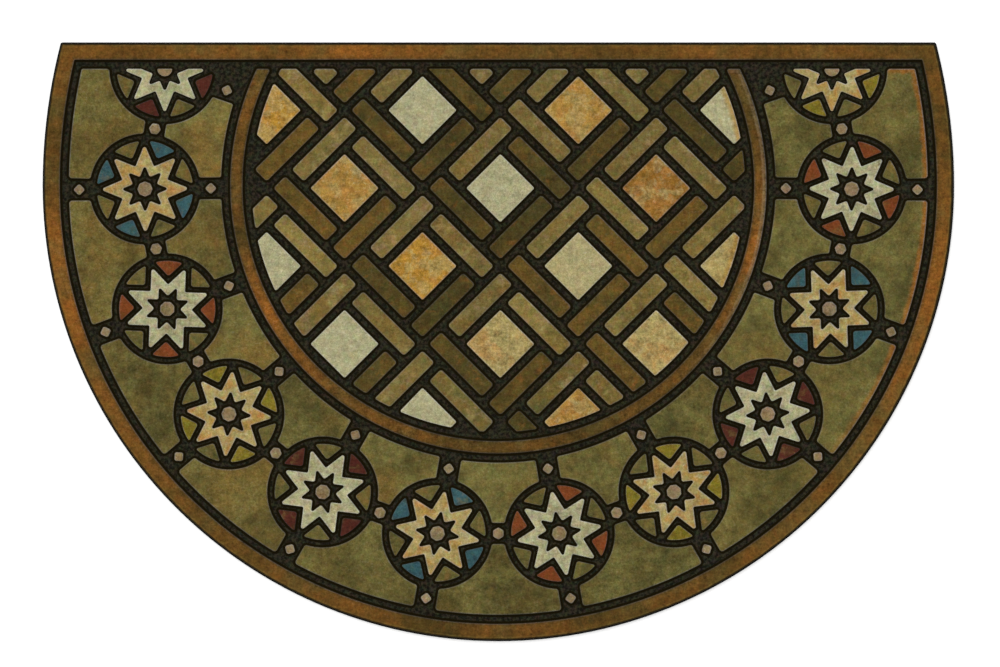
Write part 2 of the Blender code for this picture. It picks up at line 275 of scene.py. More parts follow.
# The studio's floor, soft lamp and camera
FLOOR_REACH = 6.0
LAMP_SPREAD = math.radians(50)
LAMP_TILT = (math.radians(-28), math.radians(-18), 0.0)
CAMERA_PLACE = (1.6 * MM, 8.1 * MM)
CAMERA_NEAR = 0.01
CAMERA_FAR = 100.0


def linear(red, green, blue):
    """The linear colour of three values from 0 to 255."""
    share = np.array((red, green, blue)) / 255
    return tuple(np.where(share <= 0.04045, share / 12.92, ((share + 0.055) / 1.055) ** 2.4))


def length(name, description, millimetres):
    """A length property, given in millimetres."""
    return bpy.props.FloatProperty(
        name=name, description=description, default=millimetres * MM, min=0.0,
        subtype="DISTANCE", unit="LENGTH", precision=4,
    )


def amount(name, description, value, least=0.0, most=1000.0):
    """A number property."""
    return bpy.props.FloatProperty(name=name, description=description, default=value, min=least, max=most)


def ink(name, description, red, green, blue):
    """A colour property, given as three values from 0 to 255."""
    return bpy.props.FloatVectorProperty(
        name=name, description=description, default=linear(red, green, blue),
        size=3, min=0.0, max=1.0, subtype="COLOR",
    )


class DOORMAT_PG_sizes(bpy.types.PropertyGroup):
    """The sizes of the mat and of its solids."""

    width: length("Width", "Along the straight edge", 889)
    depth: length("Depth", "Across the straight edge", 584)
    side_stretch: amount(
        "Side stretch", "How much the round edge is stretched above the hub", 1.12, 1.0, 1.5
    )
    face_base: length("Face base", "The face's underside above the ground", 3.8)
    face_floor: length("Channel floor", "The channels' floor above the ground", 6.0)
    rubber_rim: length("Rubber rim", "The rubber that shows round the face", 1.2)
    face_lip: length("Face lip", "From the face's edge to the border", 0.6)
    border: length("Border", "From the mat's edge to the border's inner edge", 17.1)
    channel: length("Channel", "Between the bands", 8.7)
    ring: length("Ring", "The ring of roundels' width", 148.5)
    inner_band: length("Inner band", "The width of the band round the field", 12.2)
    roundels: bpy.props.IntProperty(
        name="Roundels", description="Whole roundels in the ring", default=10, min=4, max=16
    )
    star_tip: length("Star", "From a star's centre to its tips", 44)
    star_band: length("Star band", "Width of a star's band", 8)
    square: length("Square", "Side of the field's square tiles", 47.2)
    plank: length("Plank", "Width of the field's planks", 16.6)
    plank_gap: length("Plank gap", "From a square to the planks round it", 9.0)
    pitch: length("Pinwheel pitch", "From one pinwheel's centre to the next", 107.4)


class DOORMAT_PG_inks(bpy.types.PropertyGroup):
    """The colours printed on the flocked face, and the rubber's."""

    channel: ink("Channel", "The channels' floor", 36, 34, 24)
    # Painted shade: near-black on the pads' walls and along the border's outer edge
    wall: ink("Pad walls", "The pads' walls", 22, 16, 0)
    rubber: ink("Rubber", "The backing", 14, 14, 14)
    umber: ink("Umber", "The bands' dark patches", 66, 54, 22)
    bark: ink("Bark", "Most dark planks", 75, 64, 29)
    tan: ink("Tan", "Rusty dark planks", 99, 77, 32)
    brown: ink("Brown", "The border's main brown", 98, 70, 28)
    rust: ink("Rust", "The border's reddish patches", 138, 86, 31)
    olive: ink("Olive", "The panels' main colour", 96, 88, 45)
    moss: ink("Moss", "The panels' dark patches", 68, 67, 34)
    sage: ink("Sage", "The panels' pale patches", 115, 108, 57)
    ochre: ink("Ochre", "Warm patches of panels and light planks", 118, 94, 43)
    sand: ink("Sand", "Most light planks", 117, 101, 54)
    straw: ink("Straw", "The palest planks", 133, 115, 60)
    cream: ink("Cream", "The palest squares and stars", 168, 163, 124)
    bone: ink("Bone", "Greyish patches in the cream", 146, 144, 104)
    pale_gold: ink("Pale gold", "Pale gold squares and stars", 164, 146, 90)
    amber: ink("Amber", "Amber patches in the gold", 161, 124, 56)
    peach: ink("Peach", "Reddish patches in the gold", 172, 119, 60)
    honey: ink("Honey", "The deepest gold squares", 168, 125, 46)
    copper: ink("Copper", "Reddish gold squares", 135, 95, 36)
    clay: ink("Clay", "Lozenges and stones", 136, 116, 84)
    blue: ink("Blue", "Blue accents", 52, 84, 88)
    brick: ink("Brick", "Dark red accents", 78, 38, 28)
    orange: ink("Orange", "Orange accents", 114, 60, 28)
    mustard: ink("Mustard", "Yellow accents", 120, 106, 32)


class DOORMAT_PG_stage(bpy.types.PropertyGroup):
    """The studio."""

    floor: ink("Floor", "The pale floor", 250, 250, 249)
    floor_glow: amount("Floor glow", "Light from the floor itself, as on a light table", 0.3)
    lens: amount("Lens", "The camera's focal length, in millimetres", 300.0, 20.0, 400.0)
    camera_height: length("Camera height", "The camera's height above the ground", 8130)
    sky: amount("Sky", "Strength of the even light from all sides", 0.68)
    sun: amount("Soft lamp", "Strength of the broad soft lamp", 1.3)


class Plan:
    """Where the bands lie about the hub, by the mat's sizes."""

    def __init__(self, sizes):
        self.sizes = sizes
        self.radius = sizes.width / 2
        self.straight = sizes.depth - self.radius
        self.hub = np.array((0.0, self.radius - sizes.depth / 2))
        self.border_radius = self.radius - sizes.border
        self.border_top = self.straight - sizes.border
        self.ring_outer = self.border_radius - sizes.channel
        self.ring_inner = self.ring_outer - sizes.ring
        self.band_outer = self.ring_inner - sizes.channel
        self.band_inner = self.band_outer - sizes.inner_band
        self.field_radius = self.band_inner - sizes.channel
        self.top = self.border_top - sizes.channel
        self.middle = (self.ring_outer + self.ring_inner) / 2
        self.end = 90 + math.degrees(math.asin(self.top / self.middle))
        self.pitch = 2 * self.end / (sizes.roundels + 1)
        self.notch = sizes.star_tip * math.sin(TIP_HALF_ANGLE) / math.sin(NOTCH_HALF_ANGLE)

    def half_round(self, radius, top, steps, stretch=1.0):
        """A D: an arc about the hub, closed by a straight line at a height above it."""
        end = math.degrees(math.acos(-top / (radius * stretch)))
        return polar(self.hub, radius, np.linspace(-end, end, steps + 1), stretch)

    def rim(self, inset):
        """The mat's outline, a distance inside its edge."""
        return self.half_round(
            self.radius - inset, self.straight - inset, RIM_STEPS, self.sizes.side_stretch
        )

    def warmth(self, swells):
        """A function of points: a constant plus, for each swell, strength * exp(-(d / reach)^2),
        with d the angle about the hub between the point and the swell's heading."""
        def tone(points):
            heading = np.degrees(np.arctan2(points[..., 0], self.hub[1] - points[..., 1]))
            total = np.full(heading.shape, BAND_WARMTH)
            for middle, reach, strength in swells:
                apart = (heading - middle + 180) % 360 - 180
                total += strength * np.exp(-(apart / reach) ** 2)
            return total
        return tone

    def line(self, radius, top, stretch=1.0):
        """A D that the print follows: its hub's height, radius, top and stretch."""
        return float(self.hub[1]), radius, top, stretch

    def roundel_headings(self):
        """The angles of the roundels' centres, with the half ones at both ends."""
        return -self.end + self.pitch * np.arange(self.sizes.roundels + 2)


def polar(centre, radius, angle, stretch=1.0):
    """centre + radius * (sin a, -cos a) for each angle a; heights above the centre are stretched."""
    turn = np.radians(angle)
    height = -np.cos(turn)
    height = np.where(height > 0, height * stretch, height)
    return centre + np.stack((radius * np.sin(turn), radius * height), axis=-1)


def outline_area(outline):
    """Half the sum of x*dy - y*dx: the area inside an outline, negative where it runs clockwise."""
    after = np.roll(outline, -1, axis=0)
    return (outline[:, 0] * after[:, 1] - outline[:, 1] * after[:, 0]).sum() / 2


def closed_evenly(outline):
    """A D's outline with points along its straight side too."""
    straight = np.linspace(outline[-1], outline[0], TOP_POINTS + 2)[1:-1]
    return np.concatenate((outline, straight))


def anticlockwise(outline):
    """The outline, turned round if it runs clockwise."""
    return outline if outline_area(outline) > 0 else outline[::-1]


def sides_of(outline):
    """Each side's direction, length and turn from the side before it, left positive."""
    side = np.roll(outline, -1, axis=0) - outline
    size = np.linalg.norm(side, axis=1)
    ahead = side / size[:, None]
    back = np.roll(ahead, 1, axis=0)
    turn = np.arctan2(back[:, 0] * ahead[:, 1] - back[:, 1] * ahead[:, 0], (back * ahead).sum(axis=1))
    return ahead, size, turn


def outward_push(outline):
    """(n1 + n2) / (1 + n1·n2) for the outward normals of a point's two sides: moved by that times
    a distance, every side moves outwards by the distance."""
    ahead = sides_of(outline)[0]
    after = np.stack((ahead[:, 1], -ahead[:, 0]), axis=1)
    before = np.roll(after, 1, axis=0)
    return (before + after) / (1 + (before * after).sum(axis=1, keepdims=True))


def room(outline):
    """How far an outline can move inwards, and outwards, before its shortest side is used up:
    length / (tan(turn1 / 2) + tan(turn2 / 2)), taken over the sides that shrink."""
    _, size, turn = sides_of(outline)
    bend = np.tan(turn / 2)
    shrink = (bend + np.roll(bend, -1)) / size
    return 1 / max(shrink.max(), 1.0), 1 / max(-shrink.min(), 1.0)


def rounded(outline, corner):
    """Each sharp corner becomes an arc of a radius r: it starts r * tan(turn / 2) before the corner
    and goes along by r * sin(a) and sideways by r * (1 - cos(a)) as its angle a grows to the turn.
    Points of a smooth curve that lie close to a sharp corner give way to it."""
    convex, concave = np.array(CORNERS[corner]) * MM
    for _ in range(2):
        _, size, turn = sides_of(outline)
        sharp = np.abs(turn) > SHARP_TURN
        near_next = (size < CORNER_KEEP) & np.roll(sharp, -1)
        near_last = (np.roll(size, 1) < CORNER_KEEP) & np.roll(sharp, 1)
        outline = outline[sharp | ~(near_next | near_last)]
    ahead, size, turn = sides_of(outline)
    back = np.roll(ahead, 1, axis=0)
    sharp = np.abs(turn) > SHARP_TURN
    bend = np.tan(np.abs(turn) / 2)
    free = SIDE_SHARE * np.minimum(size, np.roll(size, 1))
    radius = np.minimum(np.where(turn > 0, convex, concave), free / np.maximum(bend, NEARLY_ZERO))
    start = outline - back * (radius * bend)[:, None]
    sideways = np.stack((-back[:, 1], back[:, 0]), axis=1) * np.sign(turn)[:, None]
    angle = np.abs(turn)[:, None] * np.linspace(0, 1, CORNER_POINTS)
    arc = start[:, None] + radius[:, None, None] * (
        np.sin(angle)[..., None] * back[:, None] + (1 - np.cos(angle))[..., None] * sideways[:, None]
    )
    arc[~sharp, 0] = outline[~sharp]
    kept = np.repeat(sharp[:, None], CORNER_POINTS, axis=1)
    kept[:, 0] = True
    return arc[kept]


def cut_by(outline, point, inward):
    """The part of an outline where (p - point)·inward >= 0, ended where its sides cross that line."""
    height = (outline - point) @ inward
    after = np.roll(height, -1)
    crosses = (height < 0) != (after < 0)
    share = np.where(crosses, height / np.where(crosses, height - after, 1.0), 0.0)
    crossing = outline + share[:, None] * (np.roll(outline, -1, axis=0) - outline)
    both = np.stack((outline, crossing), axis=1).reshape(-1, 2)
    return both[np.stack((height >= 0, crosses), axis=1).reshape(-1)]


def fenced(outline, fence):
    """The part of a tile inside a convex anticlockwise fence, or None where too little is left."""
    ahead = sides_of(fence)[0]
    inward = np.stack((-ahead[:, 1], ahead[:, 0]), axis=1)
    distance = np.einsum("psk,sk->ps", outline[:, None] - fence[None], inward)
    if (distance.max(axis=0) < 0).any():
        return None
    for number in np.flatnonzero(distance.min(axis=0) < 0):
        outline = cut_by(outline, fence[number], inward[number])
        if len(outline) < 3:
            return None
    outline = outline[sides_of(outline)[1] > SHORTEST_SIDE]
    if len(outline) < 3 or outline_area(outline) < SMALLEST_TILE:
        return None
    return outline


def linked(name, data):
    """A new object of some data, in the scene."""
    thing = bpy.data.objects.new(name, data)
    bpy.context.scene.collection.objects.link(thing)
    return thing


class Mould:
    """Collects one piece's solids: points, faces, and each point's depth, pale edge (partly painted
    highlight), tile, tone.
    """

    def __init__(self, seed, base, edge=PAD_EDGE):
        self.random = np.random.default_rng(seed)
        self.base = base
        self.edge = edge
        self.points = []
        self.faces = []
        self.values = {"depth": [], "pale": [], "tile": [], "tone": []}
        self.count = 0

    def grid(self, rings, depth, pale, tone, close_ends):
        """Four-sided faces between closed rings of equal counts. The tone is one number, or a
        function of the points."""
        shape = rings.shape[:2]
        number = np.arange(shape[0] * shape[1]).reshape(shape) + self.count
        upper = np.roll(number, -1, axis=0) if close_ends else number[1:]
        lower = number if close_ends else number[:-1]
        quads = np.stack((lower, np.roll(lower, -1, axis=1), np.roll(upper, -1, axis=1), upper), axis=-1)
        self.faces.extend(quads.reshape(-1, 4).tolist())
        self.points.append(rings.reshape(-1, 3))
        found = {
            "depth": depth[:, None],
            "pale": pale,
            "tile": self.random.random(),
            "tone": tone(rings) if callable(tone) else tone,
        }
        for name, value in found.items():
            self.values[name].append(np.broadcast_to(value, shape).reshape(-1))
        self.count += number.size
        return number

    def solid(self, outline, corner, tone=0.5, ladder=False):
        """The edge carried along an outline of rounded corners, with a cap below and above. A
        ladder is a strip whose outline goes there and back in equal steps: its upper cap is
        four-sided faces between its long sides."""
        outline = rounded(outline, corner)
        inwards, outwards = room(outline)
        edge = self.edge.copy()
        edge[:, 0] *= np.where(
            edge[:, 0] < 0,
            min(1.0, SAFE_SHARE * inwards / max(-edge[:, 0].min(), NEARLY_ZERO)),
            min(1.0, SAFE_SHARE * outwards / max(edge[:, 0].max(), NEARLY_ZERO)),
        )
        rings = carried(outline, edge, self.base)
        number = self.grid(rings, edge[:, 2], pale_print_and_highlight(outline, 1), tone, False)
        self.faces.append(number[0, ::-1].tolist())
        if not ladder:
            self.faces.append(number[-1].tolist())
            return
        half = number.shape[1] // 2
        there = number[-1, :half]
        back = number[-1, half:][::-1]
        rungs = np.stack((there[:-1], there[1:], back[1:], back[:-1]), axis=-1)
        self.faces.extend(rungs.tolist())

    def hoop(self, outlines, corners, tone=0.5, lip=None):
        """A ring: the edge goes up along the outer outline and down along the inner one. With a lip,
        the outer edge reaches out no further than that and isn't pale."""
        outer, inner = map(rounded, outlines, corners)
        outer_edge = self.edge.copy()
        if lip is not None:
            outer_edge[:, 0] = np.minimum(outer_edge[:, 0], lip)
        rings = np.concatenate((
            carried(outer, outer_edge, self.base),
            carried(inner, self.edge * (-1, 1, 1), self.base)[::-1],
        ))
        depth = np.concatenate((self.edge[:, 2], self.edge[::-1, 2]))
        outer_pale = pale_print_and_highlight(outer, 1) * (lip is None)
        pale = np.repeat((outer_pale, pale_print_and_highlight(inner, -1)), len(self.edge), axis=0)
        self.grid(rings, depth, pale, tone, True)

    def piece(self, name, finish, slot):
        """The collected solids as an object that rides with the mat."""
        mesh = bpy.data.meshes.new(name)
        mesh.from_pydata(np.concatenate(self.points), [], self.faces)
        for label, values in self.values.items():
            attribute = mesh.attributes.new(label, "FLOAT", "POINT")
            attribute.data.foreach_set("value", np.concatenate(values).astype(np.float32))
        mesh.polygons.foreach_set("use_smooth", np.ones(len(mesh.polygons), bool))
        mesh.materials.append(finish)
        mesh.validate()
        thing = linked(name, mesh)
        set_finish(thing, slot)
        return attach(thing, "root")

    def pads(self, name, inks, stripes=()):
        """The collected solids as pads in printed flock."""
        return self.piece(name, flock(name, inks, stripes), "textile")


def moulds_for(plan, seed, *names):
    """A mould for each piece of pads, seeded one after the other."""
    return {name: Mould(seed + n, plan.sizes.face_floor) for n, name in enumerate(names)}


def carried(outline, edge, base):
    """Rings of points: outline + out * push at the height base + up, for each (out, up) of an edge."""
    flat = outline[None] + edge[:, 0, None, None] * outward_push(outline)[None]
    height = np.broadcast_to((base + edge[:, 1])[:, None, None], flat.shape[:2] + (1,))
    return np.concatenate((flat, height), axis=-1)


def pale_print_and_highlight(outline, side):
    """How pale a pad's edge is at its points p, partly a painted highlight: a constant of painted
    highlight, more where the outward normal n faces away from the mat's middle, max(0, n·p / reach), as
    the print falls short of the mould there, and more painted highlight where it faces the far right
    corner."""
    normal = side * outward_push(outline)
    normal /= np.linalg.norm(normal, axis=1, keepdims=True)
    away = np.maximum(0, (normal * outline).sum(axis=1) / PALE_REACH)
    corner = np.maximum(0, normal.sum(axis=1) * DIAGONAL)
    return np.minimum(1, HIGHLIGHT_EVERYWHERE + PALE_AWAY * away + HIGHLIGHT_CORNER * corner)


def operator(operation, reflected=False):
    """A method that adds an operation's Math node for a wire and another wire or a number."""
    def method(self, other):
        values = (other, self) if reflected else (self, other)
        return self.finish.maths(operation, *values)
    return method


class Wire:
    """A node's socket that takes part in sums: each operator adds its Math node."""

    def __init__(self, finish, socket):
        self.finish = finish
        self.socket = socket

    __add__ = operator("ADD")
    __radd__ = operator("ADD", True)
    __sub__ = operator("SUBTRACT")
    __rsub__ = operator("SUBTRACT", True)
    __mul__ = operator("MULTIPLY")
    __rmul__ = operator("MULTIPLY", True)
    __truediv__ = operator("DIVIDE")
    __rtruediv__ = operator("DIVIDE", True)


class Finish:
    """One material, built from nodes."""

    def __init__(self, name, roughness, sheen=0.0):
        self.material = bpy.data.materials.new(name)
        self.material.use_nodes = True
        self.tree = self.material.node_tree
        self.shader = self.tree.nodes["Principled BSDF"]
        self.shader.inputs["Roughness"].default_value = roughness
        self.shader.inputs["Specular IOR Level"].default_value = SPECULAR
        self.shader.inputs["Sheen Weight"].default_value = sheen
        self.shader.inputs["Sheen Roughness"].default_value = SHEEN_ROUGHNESS
        self.place = self.node("ShaderNodeTexCoord", output="Object")

    def node(self, kind, settings=None, inputs=None, output=0):
        """A node with its settings, its sockets given values or wires."""
        made = self.tree.nodes.new(kind)
        for name, value in (settings or {}).items():
            setattr(made, name, value)
        for name, value in (inputs or {}).items():
            if isinstance(value, Wire):
                self.tree.links.new(value.socket, made.inputs[name])
            else:
                made.inputs[name].default_value = value
        return Wire(self, made.outputs[output])

    def feed(self, name, wire):
        """A wire into one of the shader's sockets."""
        self.tree.links.new(wire.socket, self.shader.inputs[name])

    def attribute(self, name):
        """A value of the piece's points."""
        return self.node("ShaderNodeAttribute", {"attribute_name": name}, output="Fac")

    def maths(self, operation, *values):
        """The Math node of an operation on wires or numbers."""
        return self.node("ShaderNodeMath", {"operation": operation}, dict(enumerate(values)))

    def vectors(self, operation, *values):
        """The Vector Math node of an operation on wires, colours or vectors."""
        return self.node("ShaderNodeVectorMath", {"operation": operation}, dict(enumerate(values)))

    def vector(self, *values):
        """A vector of three values or wires."""
        return self.node("ShaderNodeCombineXYZ", inputs=dict(enumerate(values)))

    def noise(self, size, detail=2.0, place=None, roughness=0.55, distortion=0.0, output=0):
        """Cloudy noise about 0.5 whose features have a size, in metres."""
        return self.node("ShaderNodeTexNoise", inputs={
            "Vector": place or self.place,
            "Scale": 1 / size,
            "Detail": detail,
            "Roughness": roughness,
            "Distortion": distortion,
        }, output=output)

    def fibres(self):
        """The finest texture, of single fibres."""
        return self.noise(FIBRE, roughness=0.7)

    def weave(self):
        """Short streaks as of a coarse cloth: the mean of noise drawn out along X and along Y."""
        across, along = (
            self.noise(1.0, 2.0, self.vectors("DIVIDE", self.place, size), 0.6) for size in WEAVE
        )
        return (across + along) * 0.5

    def step(self, value, low, high, start=0.0, end=1.0):
        """From start to end, smoothly, as a value goes from low to high."""
        return self.node("ShaderNodeMapRange", {"interpolation_type": "SMOOTHSTEP"}, {
            "Value": value, "From Min": low, "From Max": high, "To Min": start, "To Max": end,
        })

    def mix(self, share, first, second):
        """Two colours blended by a share."""
        first, second = (
            colour if isinstance(colour, Wire) else (*colour, 1.0) for colour in (first, second)
        )
        return self.node("ShaderNodeMix", {"data_type": "RGBA"}, {0: share, 6: first, 7: second}, 2)

    def scaled(self, colour, light):
        """A colour times a value."""
        return self.node("ShaderNodeVectorMath", {"operation": "SCALE"}, {
            0: colour if isinstance(colour, Wire) else tuple(colour), "Scale": light,
        })

    def tinted(self, colour, size, detail, strength):
        """A colour times 1 + strength * (noise - 0.5), with its own noise for each channel."""
        hues = self.noise(size, detail, roughness=0.5, output="Color")
        spread = self.vectors("MULTIPLY_ADD", hues, (strength,) * 3, (1 - strength / 2,) * 3)
        return self.vectors("MULTIPLY", colour, spread)

    def relief(self, height, distance):
        """Fine relief of a distance from a height value."""
        self.feed("Normal", self.node("ShaderNodeBump", inputs={"Height": height, "Distance": distance}))


def flock(name, inks, stripes):
    """Printed flock by the piece's entry in PRINTS: washes over a base ink, in patches, each (ink,
    size in millimetres, cover, strength); inks that the tone brings in, each (from, to, ink); then
    stripes, all under a grain of fibres."""
    base, washes, tones, tile_shade, grain, chroma = PRINTS[name]
    finish = Finish(name + "_flock", roughness=0.92, sheen=0.03)
    tile = finish.attribute("tile")
    shift = finish.vectors("ADD", finish.place, finish.vector(*(tile * way for way in TILE_SHIFT)))
    colour = tuple(getattr(inks, base))
    tone = finish.attribute("tone")
    for low, high, tint in tones:
        colour = finish.mix(finish.step(tone, low, high), colour, getattr(inks, tint))
    for number, (tint, size, cover, strength) in enumerate(washes):
        place = finish.vectors("ADD", shift, tuple(number * way for way in WASH_SHIFT))
        detail, roughness, reach = SOFT_PATCH if size >= SOFT_FROM else CRISP_PATCH
        cloud = finish.noise(size * MM, detail, place, roughness, PATCH_SWIRL)
        middle = PATCH_EDGE - PATCH_COVER * cover
        mask = finish.step(cloud, middle - reach, middle + reach) * strength
        colour = finish.mix(mask, colour, getattr(inks, tint))
    for stripe in stripes:
        colour = striped(finish, inks, colour, *stripe)
    tuft = finish.noise(TUFT, 3.0, roughness=0.75)
    mottle = finish.noise(MOTTLE, 3.0, shift, 0.6)
    weave = finish.weave()
    fibre = finish.fibres()
    light = (
        (tuft - 0.5) * grain[0] + (mottle - 0.5) * grain[1]
        + (weave - 0.5) * grain[2] + (tile - 0.5) * tile_shade + 1.0
    )
    colour = finish.scaled(colour, light * ((fibre - 0.5) * FIBRE_CONTRAST + FIBRE_LIGHT))
    colour = sunk(finish, inks, finish.tinted(colour, HUE, 2.0, chroma), tuft)
    finish.feed("Base Color", colour)
    finish.feed("Roughness", finish.step(tuft, *FLOCK_ROUGHNESS))
    finish.relief(tuft * TUFT_SHARE + fibre * FIBRE_SHARE, FLOCK_RELIEF)
    return finish.material


def striped(finish, inks, colour, tint, line, none, whole, strength, right_only=False):
    """An ink along a D: nothing at one distance outside it, whole at another, in millimetres. The
    distance is the greater of sqrt(x*x + v*v) - radius and y - top, with v = min(y, y / stretch) for
    the height y above the hub."""
    hub, radius, top, stretch = line
    none *= MM
    whole *= MM
    across = finish.node("ShaderNodeSeparateXYZ", inputs={0: finish.place})
    above = Wire(finish, across.socket.node.outputs[1]) - hub
    height = finish.maths("MINIMUM", above, above / stretch)
    away = finish.maths("SQRT", across * across + height * height) - radius
    distance = finish.maths("MAXIMUM", away, above - top)
    ragged = distance + (finish.noise(STRIPE_RAGS) - 0.5) * (STRIPE_RAGGED * abs(whole - none))
    mask = finish.step(ragged, none, whole) * strength
    if right_only:
        mask = mask * finish.step(across, RIGHT_FROM * radius, RIGHT_TO * radius)
    return finish.mix(mask, colour, getattr(inks, tint))


def sunk(finish, inks, colour, tuft):
    """A pad's colour as its depth grows: paler on its rounded edge, partly a painted highlight,
    near-black painted shade down its walls along a ragged line, then the channels' charcoal."""
    depth = finish.attribute("depth") + (tuft - 0.5) * RAGGED
    # Painted highlight, in part print short of the mould: the rounded edge turns a paler grey
    edge = finish.step(depth, *PALE_DEPTHS) * finish.attribute("pale") * PALE_SHARE
    grey = finish.node("ShaderNodeRGBToBW", inputs={0: colour}) * PALE_LIGHT
    colour = finish.mix(edge, colour, finish.vector(grey, grey, grey))
    # Painted shade: the walls and the crease at their foot go near-black
    colour = finish.mix(finish.step(depth, *WALL_SHADE_DEPTHS), colour, inks.wall)
    return finish.mix(finish.step(depth, *CHARCOAL_DEPTHS), colour, charcoal(finish, inks))


def charcoal(finish, inks):
    """The channels' charcoal, with its lighter specks."""
    speck = finish.noise(SPECK, roughness=0.6)
    cloud = finish.noise(CHANNEL_CLOUD)
    light = finish.step(speck, *SPECK_LIGHT) + (cloud - 0.5) * CLOUD_CONTRAST
    light = light * ((finish.fibres() - 0.5) * CHANNEL_CONTRAST + 1.0)
    return finish.tinted(finish.scaled(inks.channel, light), CHANNEL_HUE, 1.0, 1.0)


def channel_flock(inks):
    """The channels' coarser flock."""
    finish = Finish("charcoal_channel_flock", roughness=0.95, sheen=0.02)
    finish.feed("Base Color", charcoal(finish, inks))
    finish.relief(finish.noise(CHANNEL_GRAIN, 3.0, roughness=0.8), CHANNEL_RELIEF)
    return finish.material


def crumb_rubber(inks):
    """Black rubber pressed from crumb, with faint granules."""
    finish = Finish("black_crumb_rubber", roughness=0.7)
    granule = finish.node("ShaderNodeTexVoronoi", {"feature": "F1"}, {
        "Vector": finish.place, "Scale": 1 / GRANULE,
    }, "Distance")
    fine = finish.noise(CRUMB, 3.0, roughness=0.7)
    light = (fine - 0.5) * 0.9 + finish.step(granule, 0.2, 0.7) * -0.25 + 1.1
    finish.feed("Base Color", finish.scaled(inks.rubber, light))
    finish.feed("Roughness", finish.step(fine, 0.3, 0.7, 0.58, 0.82))
    finish.relief(granule * -0.6 + fine * 0.5, RUBBER_RELIEF)
    return finish.material


def star_line(plan, centre, heading, corners, drawn):
    """A number of a star's tips and notches in turn, from a tip on, drawn in by a distance."""
    steps = np.arange(corners)
    radius = np.where(
        steps % 2 == 0,
        plan.sizes.star_tip - drawn / math.sin(TIP_HALF_ANGLE),
        plan.notch - drawn / math.sin(NOTCH_HALF_ANGLE),
    )
    return polar(centre, radius, heading + steps * STAR_TURN / 2)


def accent_tile(plan, centre, heading):
    """A tile between two star points: an apex at the notch, and an arc of the rim."""
    apex = plan.notch + ACCENT_CHANNEL / math.sin(NOTCH_HALF_ANGLE)
    half = (math.sqrt(2 * ACCENT_RIM ** 2 - apex ** 2) - apex) / 2
    spread = math.degrees(math.asin(half / ACCENT_RIM))
    rim = polar(centre, ACCENT_RIM, heading + np.linspace(-spread, spread, ACCENT_RIM_POINTS))
    return np.concatenate((polar(centre, apex, heading)[None], rim))


def regular_tile(centre, radius, sides, heading):
    """A tile of equal sides, with a corner on its heading."""
    return polar(centre, radius, heading + np.arange(sides) * 360 / sides)


def ground_arc(plan, outward, middle, side):
    """The part of a roundel's ground circle that bounds a panel, from beside the lozenge until it
    comes within the stone's clearance: centre + r * (cos t * away + sin t * towards)."""
    heading = middle + side * plan.pitch / 2
    away = outward * polar(0, 1.0, heading)
    towards = -side * polar(0, 1.0, heading + 90)
    half_gap = plan.middle * math.sin(math.radians(plan.pitch / 2))
    nearest = ROUNDEL_GROUND ** 2 + half_gap ** 2 - STONE_CLEARANCE ** 2
    short_of_stone = math.acos(nearest / (2 * ROUNDEL_GROUND * half_gap))
    first = math.asin(LOZENGE_CLEARANCE / ROUNDEL_GROUND)
    last = math.radians(90 + outward * plan.pitch / 2) - short_of_stone
    turn = np.linspace(first, last, GROUND_POINTS)[:, None]
    reach = ROUNDEL_GROUND * (np.cos(turn) * away + np.sin(turn) * towards)
    return polar(plan.hub, plan.middle, heading) + reach


def ring_panel(plan, outward, middle):
    """The panel between two roundels, on the border's side or on the inner band's side: the band's
    arc between two lozenges, closed by the arcs of both roundels' grounds."""
    band_radius = plan.ring_outer if outward > 0 else plan.ring_inner
    stretch = plan.sizes.side_stretch if outward > 0 else 1.0
    half = plan.pitch / 2 - math.degrees(math.asin(LOZENGE_CLEARANCE / band_radius))
    along = middle + half * np.linspace(-1, 1, PANEL_ARC_POINTS)
    left, right = (ground_arc(plan, outward, middle, side) for side in (-1, 1))
    arc = polar(plan.hub, band_radius, along, stretch)
    panel = anticlockwise(np.concatenate((arc, right, left[::-1])))
    return cut_by(panel, plan.hub + (0.0, plan.top), np.array((0.0, -1.0)))


def field_tiles(plan):
    """The pinwheels' tiles inside the field: piece, outline, kind of corner and tone. A tile's side
    is 0 for a square and 1 to 4 for the planks round it."""
    sizes = plan.sizes
    fence = plan.half_round(plan.field_radius, plan.top, FENCE_STEPS)
    half = sizes.square / 2
    near = half + sizes.plank_gap
    far = near + sizes.plank
    shapes = [half * np.array(((-1, -1), (1, -1), (1, 1), (-1, 1)))]
    plank = np.array(((near, -half), (far, -half), (far, far), (near, far)))
    for _ in range(4):
        shapes.append(plank)
        plank = np.stack((-plank[:, 1], plank[:, 0]), axis=1)
    reach = range(-PINWHEEL_REACH, PINWHEEL_REACH + 1)
    tiles = []
    for row, column in ((row, column) for row in reach for column in reach):
        centre = plan.hub + PINWHEEL_SHIFT + sizes.pitch * (row * ALONG + column * ACROSS)
        for side, shape in enumerate(shapes):
            placed = centre + shape[:, :1] * ALONG + shape[:, 1:] * ACROSS
            tile = fenced(anticlockwise(placed), fence)
            if tile is not None:
                name, *look = look_of(side, (row, column))
                tiles.append((name, tile, *look))
    return tiles


def look_of(side, cell):
    """A pinwheel tile's piece, its kind of corner and its tone, by its side and its cell."""
    if side == 0:
        if cell in CREAM_SQUARES:
            return "cream_squares", "square", float(cell in YELLOW_SQUARES)
        tones = (tone for tone, cells in GOLD_TONES.items() if cell in cells)
        return "gold_squares", "square", next(tones, PLAIN_GOLD)
    rusty = cell in RUSTY_PLANKS.get(side, ())
    dark = side == 1 or rusty or cell in DARK_PLANKS.get(side, ())
    tone = float(rusty or cell in OLIVE_PLANKS.get(side, ()))
    if cell in STRAW_PLANKS.get(side, ()):
        tone = STRAW_TONE
    return "dark_planks" if dark else "light_planks", "plank", tone


def workshop(context):
    """The mat's plan and its inks."""
    return Plan(context.scene.doormat_sizes), context.scene.doormat_inks


